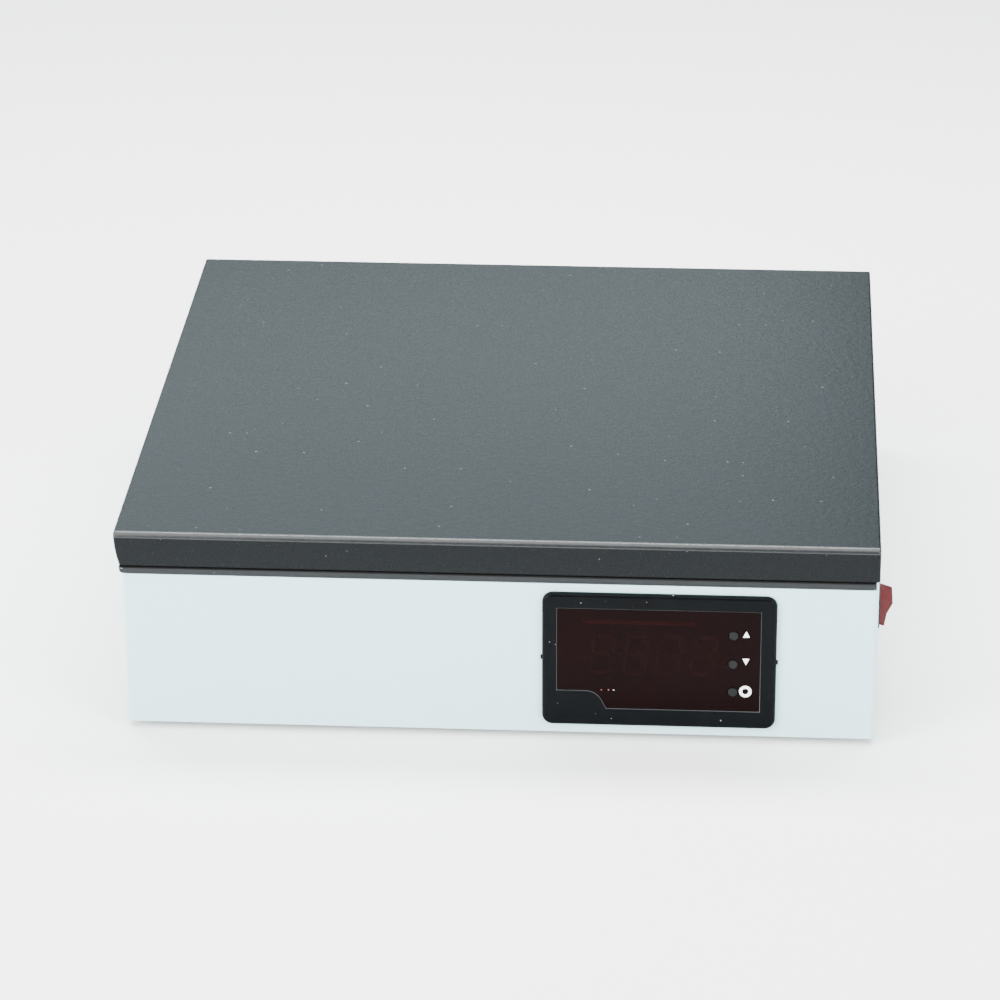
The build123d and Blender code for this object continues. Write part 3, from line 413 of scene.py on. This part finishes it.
@dataclass(frozen=True)
class Finishes:
    """All finishes of the heater; the frame nodes that take one as they are stand in CARRIED."""

    lid_paint: PowderCoat = PowderCoat(
        "lid_granular_coat", (0.0016, 0.0028, 0.0036), (0.0013, 0.0024, 0.0031), 0.30, grain=1.0 * MM,
        grain_height=0.06 * MM, mottle=70 * MM, gloss=0.12, specks=8 * MM)
    # Painted highlight: a lighter, glossier copy of the lid coat, laid on the front bend faces.
    bend_paint: PowderCoat = PowderCoat(
        "lid_bend_painted_highlight", (0.0060, 0.0075, 0.0082), (0.0050, 0.0062, 0.0070), 0.34, grain=1.0 * MM,
        grain_height=0.06 * MM, mottle=70 * MM, gloss=0.5)
    base_paint: PowderCoat = PowderCoat(
        "base_white_coat", (0.45, 0.67, 0.70), (0.44, 0.66, 0.69), 0.38, grain=0.9 * MM,
        grain_height=0.006 * MM, mottle=90 * MM)
    cover_paint: PowderCoat = PowderCoat(
        "cover_grey_coat", (0.55, 0.57, 0.57), (0.50, 0.52, 0.52), 0.5, grain_height=0.01 * MM)
    # Seal rubber with painted shade along its top, where the lid's rim shades it.
    seal_rubber: Moulded = Moulded(
        "seal_rubber", (0.012, 0.0138, 0.015), 0.72, dust=5 * MM, gloss=0.2,
        painted_shade_above=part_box("lid_shell")[0].z - 1.2 * MM)
    foot_rubber: Moulded = Moulded("foot_rubber", (0.022, 0.022, 0.023), 0.8)
    bezel_plastic: Moulded = Moulded(
        "bezel_plastic", (0.0003, 0.0008, 0.0012), 0.36, dust=5 * MM, gloss=0.06)
    # Painted highlight: a paler copy of the bezel plastic for the glint along the opening's edge.
    lip_painted_highlight: Moulded = Moulded("lip_painted_highlight", (0.014, 0.016, 0.018), 0.4, gloss=0.2)
    black_plastic: Moulded = Moulded("black_plastic", (0.0035, 0.0038, 0.0042), 0.42, gloss=0.15)
    key_plastic: Moulded = Moulded("key_plastic", (0.0052, 0.0058, 0.0058), 0.40, gloss=0.12)
    rocker_plastic: Moulded = Moulded("rocker_red_plastic", (0.064, 0.0070, 0.0085), 0.34, gloss=0.2)
    green_plastic: Moulded = Moulded("terminal_plastic", (0.05, 0.22, 0.10), 0.45)
    relay_plastic: Moulded = Moulded("relay_plastic", (0.62, 0.60, 0.55), 0.5)
    board_lacquer: Moulded = Moulded("board_lacquer", (0.02, 0.16, 0.06), 0.3)
    display_face: Moulded = Moulded("display_face", (0.06, 0.012, 0.012), 0.3)
    silicone: Moulded = Moulded("heater_silicone", (0.42, 0.10, 0.05), 0.6, grain=1.6 * MM,
                                grain_height=0.05 * MM)
    brown_lead: Moulded = Moulded("brown_lead", (0.16, 0.06, 0.025), 0.45)
    black_lead: Moulded = Moulded("black_lead", (0.02, 0.02, 0.02), 0.45)
    stainless: WorkedMetal = WorkedMetal("stainless", (0.36, 0.36, 0.355), 0.34)
    aluminium: WorkedMetal = WorkedMetal("satin_aluminium", (0.44, 0.447, 0.453), 0.36, Lay.ALONG_Y)
    hinge_steel: WorkedMetal = WorkedMetal("hinge_steel", (0.33, 0.33, 0.325), 0.3)
    zinc: WorkedMetal = WorkedMetal("zinc_plate", (0.38, 0.38, 0.37), 0.28, Lay.CAST)
    brass: WorkedMetal = WorkedMetal("brass_contacts", (0.50, 0.36, 0.14), 0.3, Lay.CAST)
    fibre: FibreBoard = FibreBoard("ceramic_fibre", (0.80, 0.78, 0.72))
    filter_sheet: FilterSheet = FilterSheet()
    glass: ClearGlass = ClearGlass()
    ink: Moulded = Moulded("white_ink", (0.86, 0.87, 0.87), 0.5, grain_height=0.002 * MM)
    ghost: Moulded = Moulded("unlit_segment", (0.0031, 0.00009, 0.00013), 0.2, gloss=0.04)
    ghost_bright: Moulded = Moulded("unlit_bar", (0.0050, 0.00012, 0.00016), 0.2, gloss=0.04)
    pilot: Moulded = Moulded("pilot_point", (0.16, 0.02, 0.03), 0.3)
    pilot_pale: Moulded = Moulded("pilot_point_pale", (0.32, 0.24, 0.23), 0.3)


# ------------------------------------------------------------------ mesh helpers
def new_piece(name: str, shape: bmesh.types.BMesh, material: bpy.types.Material, body: Body,
              smooth_angle: float = 32.0) -> bpy.types.Object:
    """Make an object from a bmesh at the origin, dress it and let it ride.

    Args:
        name: the piece's name.
        shape: its finished bmesh, freed here.
        material: its finish.
        body: the body it rides on.
        smooth_angle: edges sharper than this stay crisp, in degrees.

    Returns:
        The new object.
    """
    mesh = bpy.data.meshes.new(name)
    shape.to_mesh(mesh)
    shape.free()
    mesh.shade_smooth()
    mesh.set_sharp_from_angle(angle=math.radians(smooth_angle))
    mesh.materials.append(material)
    piece = bpy.data.objects.new(name, mesh)
    bpy.context.scene.collection.objects.link(piece)
    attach(piece, body.value)
    log.info("piece %s rides on %s", name, body.value)
    return piece


def soften(piece: bpy.types.Object, width: float, segments: int = 2, angle: float = 35.0) -> None:
    """Round a piece's crisp edges with a bevel."""
    bevel = piece.modifiers.new("edge_rounding", "BEVEL")
    bevel.width = width
    bevel.segments = segments
    bevel.limit_method = "ANGLE"
    bevel.angle_limit = math.radians(angle)
    bevel.use_clamp_overlap = True
    bevel.harden_normals = False


def edged_copy(node: str, material: bpy.types.Material, body: Body, width: float,
               segments: int = 2) -> bpy.types.Object:
    """Stand in for a frame node with a merged copy whose edges are softly rounded.

    Args:
        node: the frame node.
        material: the copy's finish.
        body: the body it rides on.
        width: width of the rounding in metres.
        segments: steps across the rounding.

    Returns:
        The new object.
    """
    shape = bmesh.new()
    shape.from_mesh(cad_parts[node].data)
    bmesh.ops.remove_doubles(shape, verts=shape.verts, dist=MERGE_DISTANCE)
    bmesh.ops.dissolve_limit(shape, angle_limit=FLAT_ANGLE, verts=shape.verts, edges=shape.edges)
    piece = new_piece(node + "_edged", shape, material, body)
    soften(piece, width, segments)
    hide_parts(node)
    return piece


def dress(node: str, material: bpy.types.Material) -> None:
    """Give a frame node a finish in place of the plain one it came with."""
    mesh_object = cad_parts[node]
    mesh_object.data.materials.clear()
    mesh_object.data.materials.append(material)


# ------------------------------------------------------------------ sub-assemblies
@dataclass
class Controller:
    """The panel controller: frame, filter, unlit digits, keys and printed marks."""

    finishes: dict[str, bpy.types.Material]
    digit_count: int = 4
    digit_width: float = 10.6 * MM
    digit_height: float = 20.3 * MM
    digit_pitch: float = 17.0 * MM
    digit_slant: float = math.radians(8.0)
    segment_width: float = 2.3 * MM
    segment_gap: float = 0.35 * MM
    print_height: float = 0.02 * MM
    mark_size: float = 3.4 * MM
    mark_offset: float = 6.4 * MM
    mark_rise: tuple[float, float, float] = (0.8 * MM, 1.4 * MM, 0.4 * MM)
    ring_outer: float = 3.15 * MM
    ring_inner: float = 1.6 * MM
    bar: tuple[float, float, float, float] = (14.0 * MM, 70.0 * MM, 7.0 * MM, 9.2 * MM)
    pilots: tuple[float, float, float] = (23.4 * MM, 27.0 * MM, 29.6 * MM)
    pilot_height: float = 11.0 * MM
    pilot_radius: float = 0.36 * MM
    pilot_corners: int = 16
    ring_steps: int = 40
    # Width, inset, depth and angle of the bevel that carries the painted highlight on the bezel.
    lip_width: float = 0.3 * MM
    lip_inset: float = 4.0 * MM
    lip_depth: float = 1.2 * MM
    lip_angle: float = math.radians(40.0)
    origin: Vector = field(default_factory=Vector)

    def build(self) -> None:
        """Make every piece of the controller's face."""
        low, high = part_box("controller_window")
        self.origin = Vector(((low.x + high.x) / 2, low.y, (low.z + high.z) / 2))
        f = self.finishes
        bezel = edged_copy("controller_bezel", f["bezel_plastic"], Body.BASE, 0.35 * MM, 3)
        self.glint(bezel)
        edged_copy("controller_window", f["filter_sheet"], Body.BASE, 0.15 * MM)
        for name, body in (("button_up", Body.UP), ("button_down", Body.DOWN), ("button_set", Body.SET)):
            edged_copy(name, f["key_plastic"], body, 0.4 * MM, 4)
        self.digits()
        self.lights()
        self.marks()

    def glint(self, bezel: bpy.types.Object) -> None:
        """Give the frame a narrow paler lip around the opening for the filter, a painted highlight standing
        in for the glint along that edge.

        Args:
            bezel: the frame's edged copy.
        """
        low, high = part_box("controller_bezel")
        # The bevel faces take the paler plastic, a painted highlight.
        bezel.data.materials.append(self.finishes["lip_painted_highlight"])
        shape = bmesh.new()
        shape.from_mesh(bezel.data)
        rim = [edge for edge in shape.edges if len(edge.link_faces) == 2
               and edge.calc_face_angle() > self.lip_angle and all(
                   low.x + self.lip_inset < corner.co.x < high.x - self.lip_inset
                   and low.z + self.lip_inset < corner.co.z < high.z - self.lip_inset
                   and corner.co.y < low.y + self.lip_depth for corner in edge.verts)]
        made = bmesh.ops.bevel(shape, geom=rim, offset=self.lip_width, segments=1, profile=0.5,
                               affect="EDGES", material=-1, clamp_overlap=True)
        for face in made["faces"]:
            face.material_index = 1
        shape.to_mesh(bezel.data)
        shape.free()

    def lights(self) -> None:
        """The unlit bar over the figures and the three pilot points under them."""
        low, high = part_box("controller_window")
        left, right, down_to, down_from = self.bar
        bar = [(low.x + left, high.z - down_from), (low.x + right, high.z - down_from),
               (low.x + right, high.z - down_to), (low.x + left, high.z - down_to)]
        self.flat("unlit_bar", bar, self.finishes["ghost_bright"])
        for index, across in enumerate(self.pilots):
            centre = Vector((low.x + across, low.z + self.pilot_height))
            turns = [math.tau * step / self.pilot_corners for step in range(self.pilot_corners)]
            outline = [(centre.x + self.pilot_radius * math.cos(turn),
                        centre.y + self.pilot_radius * math.sin(turn)) for turn in turns]
            tone = "pilot_pale" if index == len(self.pilots) - 1 else "pilot"
            self.flat(f"pilot_{index + 1}", outline, self.finishes[tone])

    def flat(self, name: str, outline: list[tuple[float, float]], material: bpy.types.Material) -> None:
        """A thin printed or moulded figure on the filter's face.

        Args:
            name: the piece's name.
            outline: its corners as x and z in metres, in the frame.
            material: its finish.
        """
        shape = bmesh.new()
        corners = [shape.verts.new((x, self.origin.y, z)) for x, z in outline]
        face = shape.faces.new(corners)
        raised = bmesh.ops.extrude_face_region(shape, geom=[face])["geom"]
        moved = [item for item in raised if isinstance(item, bmesh.types.BMVert)]
        bmesh.ops.translate(shape, vec=(0, -self.print_height, 0), verts=moved)
        bmesh.ops.recalc_face_normals(shape, faces=shape.faces)
        new_piece(name, shape, material, Body.BASE, 20.0)

    def segment(self, start: Vector, end: Vector) -> list[tuple[float, float]]:
        """A pointed bar between two places on the face.

        Args:
            start: one end, as x and z.
            end: the other end.

        Returns:
            The corners of the bar.
        """
        along = (end - start).normalized()
        side = Vector((-along.y, along.x)) * self.segment_width / 2
        first = start + along * self.segment_gap
        last = end - along * self.segment_gap
        shoulder = along * self.segment_width / 2
        return [tuple(p) for p in (first, first + shoulder + side, last - shoulder + side, last,
                                   last - shoulder - side, first + shoulder - side)]

    def digits(self) -> None:
        """Unlit seven-segment figures behind the filter."""
        low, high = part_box("display_module")
        base_z = (low.z + high.z) / 2 - self.digit_height / 2
        lean = math.tan(self.digit_slant)
        for index in range(self.digit_count):
            left = low.x + (index + 0.5) * self.digit_pitch - self.digit_width / 2

            def spot(column: int, row: int) -> Vector:
                """A corner of the figure, leaning to the right."""
                rise = row * self.digit_height / 2
                return Vector((left + column * self.digit_width + (rise - self.digit_height / 2) * lean,
                               base_z + rise))

            corners = {"low": (0, 0, 1, 0), "mid": (0, 1, 1, 1), "top": (0, 2, 1, 2),
                       "low_left": (0, 0, 0, 1), "low_right": (1, 0, 1, 1),
                       "top_left": (0, 1, 0, 2), "top_right": (1, 1, 1, 2)}
            for name, (a, b, c, d) in corners.items():
                outline = self.segment(spot(a, b), spot(c, d))
                self.flat(f"digit_{index + 1}_{name}", outline, self.finishes["ghost"])

    def marks(self) -> None:
        """Printed triangles and ring beside the keys."""
        for name, turn, rise in (("up", 1, self.mark_rise[0]), ("down", -1, self.mark_rise[1])):
            low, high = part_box("button_" + name)
            x = (low.x + high.x) / 2 + self.mark_offset
            z = (low.z + high.z) / 2 + rise
            half = self.mark_size / 2
            outline = [(x - half, z - half * turn), (x + half, z - half * turn), (x, z + half * turn)]
            self.flat("mark_" + name, outline, self.finishes["ink"])
        low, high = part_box("button_set")
        centre = Vector(((low.x + high.x) / 2 + self.mark_offset, self.origin.y - self.print_height / 2,
                         (low.z + high.z) / 2 + self.mark_rise[2]))
        shape = bmesh.new()
        start = shape.verts.new(centre + Vector((self.ring_inner, self.print_height / 2, 0)))
        end = shape.verts.new(centre + Vector((self.ring_outer, self.print_height / 2, 0)))
        edge = shape.edges.new((start, end))
        raised = bmesh.ops.extrude_edge_only(shape, edges=[edge])["geom"]
        moved = [item for item in raised if isinstance(item, bmesh.types.BMVert)]
        bmesh.ops.translate(shape, vec=(0, -self.print_height, 0), verts=moved)
        bmesh.ops.contextual_create(shape, geom=shape.edges[:])
        whole = shape.verts[:] + shape.edges[:] + shape.faces[:]
        bmesh.ops.spin(shape, geom=whole, cent=centre, axis=(0, 1, 0), angle=math.tau,
                       steps=self.ring_steps, use_merge=True)
        bmesh.ops.remove_doubles(shape, verts=shape.verts, dist=MERGE_DISTANCE / 10)
        bmesh.ops.recalc_face_normals(shape, faces=shape.faces)
        new_piece("mark_ring", shape, self.finishes["ink"], Body.BASE, 30.0)


EDGED = (
    ("base_shell", "base_paint", Body.BASE, "base_paint", 0.3 * MM, 2),
    ("gasket", "seal_rubber", Body.BASE, "seal", 0.5 * MM, 3),
    ("switch_bezel", "black_plastic", Body.BASE, "black_plastic", 0.25 * MM, 2),
    ("switch_rocker", "rocker_plastic", Body.ROCKER, "rocker_red", 0.35 * MM, 3),
    ("inlet_body", "black_plastic", Body.BASE, "black_plastic", 0.25 * MM, 2),
    ("fuse_drawer", "black_plastic", Body.BASE, "black_plastic", 0.2 * MM, 2),
    ("hinge_base_leaves", "hinge_steel", Body.BASE, "hinge_steel", 0.2 * MM, 2),
    ("hinge_lid_leaves", "hinge_steel", Body.LID, "hinge_steel", 0.2 * MM, 2),
    ("feet", "foot_rubber", Body.BASE, "feet_rubber", 0.5 * MM, 3),
)


@dataclass
class Casing:
    """Base walls, seal, switch, inlet and hinges."""

    finishes: dict[str, bpy.types.Material]
    # Reach and normal turn of the front bend faces that carry the painted highlight.
    bend_reach: float = 6 * MM
    bend_turn: float = 0.05

    def build(self) -> None:
        """Make the edged stand-ins of the pieces that show their edges."""
        for node, finish, body, slot, width, segments in EDGED:
            edged_copy(node, self.finishes[finish], body, width, segments)
        lid = edged_copy("lid_shell", self.finishes["lid_paint"], Body.LID, 0.25 * MM)
        self.bend(lid)

    def bend(self, lid: bpy.types.Object) -> None:
        """Give the lid's rounded front bend a lighter, glossier copy of the lid coat, a painted highlight
        where the bend catches the light.

        Args:
            lid: the lid's edged copy.
        """
        low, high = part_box("lid_shell")
        # The front bend faces take the painted highlight coat.
        lid.data.materials.append(self.finishes["bend_paint"])
        for face in lid.data.polygons:
            near_front = face.center.y < low.y + self.bend_reach
            near_top = face.center.z > high.z - self.bend_reach
            turned = face.normal.y < -self.bend_turn and face.normal.z > self.bend_turn
            if near_front and near_top and turned:
                face.material_index = 1


CARRIED = {
    "cover_paint": ["bottom_cover"],
    "zinc": ["bottom_screws", "foot_screws", "foot_nuts", "deck_screws", "back_wall_screws", "liner_screws",
             "hinge_lid_screws", "lid_spacers", "plate_pillars"],
    "stainless": ["deck_plate", "chamber_liner", "lid_liner", "temperature_probe"],
    "aluminium": ["block_front_left", "block_front_right", "block_rear_left", "block_rear_right",
                  "heater_plate", "relay_plate"],
    "fibre": ["side_insulation", "floor_insulation", "lid_insulation"],
    "silicone": ["heater_mat"],
    "black_plastic": ["thermal_cutout", "controller_housing", "button_switches", "controller_clamps",
                      "switch_housing"],
    "green_plastic": ["controller_terminals", "terminal_strip"],
    "relay_plastic": ["solid_state_relay"],
    "board_lacquer": ["controller_board"],
    "display_face": ["display_module"],
    "brass": ["contact_screws", "switch_blades", "inlet_pins", "earth_stud"],
    "glass": ["fuse"],
    "black_lead": ["mains_leads", "probe_lead"],
    "brown_lead": ["switched_lead", "heater_leads"],
    "hinge_steel": ["hinge_pins"],
}


# ------------------------------------------------------------------ set
@dataclass(frozen=True)
class Lamp:
    """One soft rectangular light that faces the heater."""

    name: str
    place: Colour
    size: tuple[float, float]
    power: float
    colour: Colour = WHITE


@dataclass
class Studio:
    """Camera, lights and floor."""

    lamps: tuple[Lamp, ...] = (
        Lamp("overhead_strip", (0.0, 0.5, 1.5), (2.2, 0.5), 90.0),
        Lamp("front_sky", (0.0, -0.7, 1.6), (2.4, 1.4), 70.0),
        Lamp("left_key", (-2.6, -2.2, 1.3), (1.6, 1.6), 300.0),
        Lamp("right_key", (2.6, -2.2, 1.2), (1.6, 1.6), 180.0),
        Lamp("back_wall", (-1.3, 3.0, 2.0), (4.0, 2.0), 80.0, (0.80, 0.95, 1.0)))
    aim: Colour = (0.0, 0.0, 0.06)
    lens: float = 159.0
    yaw: float = math.radians(3.613)
    tilt: float = math.radians(90.0 - 24.070)
    roll: float = math.radians(-0.209)
    stand: Vector = field(default_factory=lambda: Vector((0.31696, -1.9994, 1.0229)))
    sight: float = 50.0
    sky: Colour = (0.95, 0.98, 1.0)
    sky_strength: float = 0.4
    floor_size: float = 24.0
    floor_tones: tuple[Colour, Colour] = ((0.90, 0.90, 0.90), (0.88, 0.88, 0.88))
    floor_mottle: float = 0.5

    def camera(self) -> None:
        """Stand the camera in front of the heater, a little above it."""
        low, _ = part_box("base_shell")
        data = bpy.data.cameras.new("camera")
        data.lens = self.lens
        data.clip_end = self.sight
        camera = bpy.data.objects.new("camera", data)
        turn = (Matrix.Rotation(self.yaw, 4, "Z") @ Matrix.Rotation(self.tilt, 4, "X")
                @ Matrix.Rotation(self.roll, 4, "Z"))
        camera.matrix_world = Matrix.Translation(low + self.stand) @ turn
        bpy.context.scene.collection.objects.link(camera)
        bpy.context.scene.camera = camera

    def light(self, lamp: Lamp) -> None:
        """Hang one light and turn it to the heater.

        Args:
            lamp: where it hangs, its size, power and colour.
        """
        data = bpy.data.lights.new(lamp.name, "AREA")
        data.shape = "RECTANGLE"
        data.size, data.size_y = lamp.size
        data.energy = lamp.power
        data.color = lamp.colour
        hung = bpy.data.objects.new(lamp.name, data)
        turn = (Vector(self.aim) - Vector(lamp.place)).to_track_quat("-Z", "Y").to_matrix().to_4x4()
        hung.matrix_world = Matrix.Translation(lamp.place) @ turn
        bpy.context.scene.collection.objects.link(hung)

    def surroundings(self) -> None:
        """The even pale light from all around."""
        world = bpy.data.worlds.new("sky")
        world.use_nodes = True
        background = world.node_tree.nodes["Background"]
        background.inputs["Color"].default_value = (*self.sky, 1.0)
        background.inputs["Strength"].default_value = self.sky_strength
        bpy.context.scene.world = world

    def floor(self) -> None:
        """The plain pale floor."""
        shape = bmesh.new()
        bmesh.ops.create_grid(shape, x_segments=1, y_segments=1, size=self.floor_size / 2)
        mesh = bpy.data.meshes.new("floor")
        shape.to_mesh(mesh)
        shape.free()
        recipe = Recipe("pale_floor")
        recipe.feed("Base Color", recipe.blend(recipe.noise(self.floor_mottle, 2.0), *self.floor_tones))
        recipe.set(Roughness=0.9)
        mesh.materials.append(recipe.material)
        floor = bpy.data.objects.new("floor", mesh)
        bpy.context.scene.collection.objects.link(floor)

    def build(self) -> None:
        """Set the camera, the lights, the sky and the floor."""
        self.camera()
        for lamp in self.lamps:
            self.light(lamp)
        self.surroundings()
        self.floor()


def main() -> None:
    """Build every piece in order."""
    logging.basicConfig(level=logging.INFO, format="%(name)s: %(message)s")
    palette = Finishes()
    finish = {name: getattr(palette, name).make() for name in palette.__dataclass_fields__}
    for name, nodes in CARRIED.items():
        for node in nodes:
            dress(node, finish[name])
    Casing(finish).build()
    Controller(finish).build()
    Studio().build()


if __name__ == "__main__":
    main()
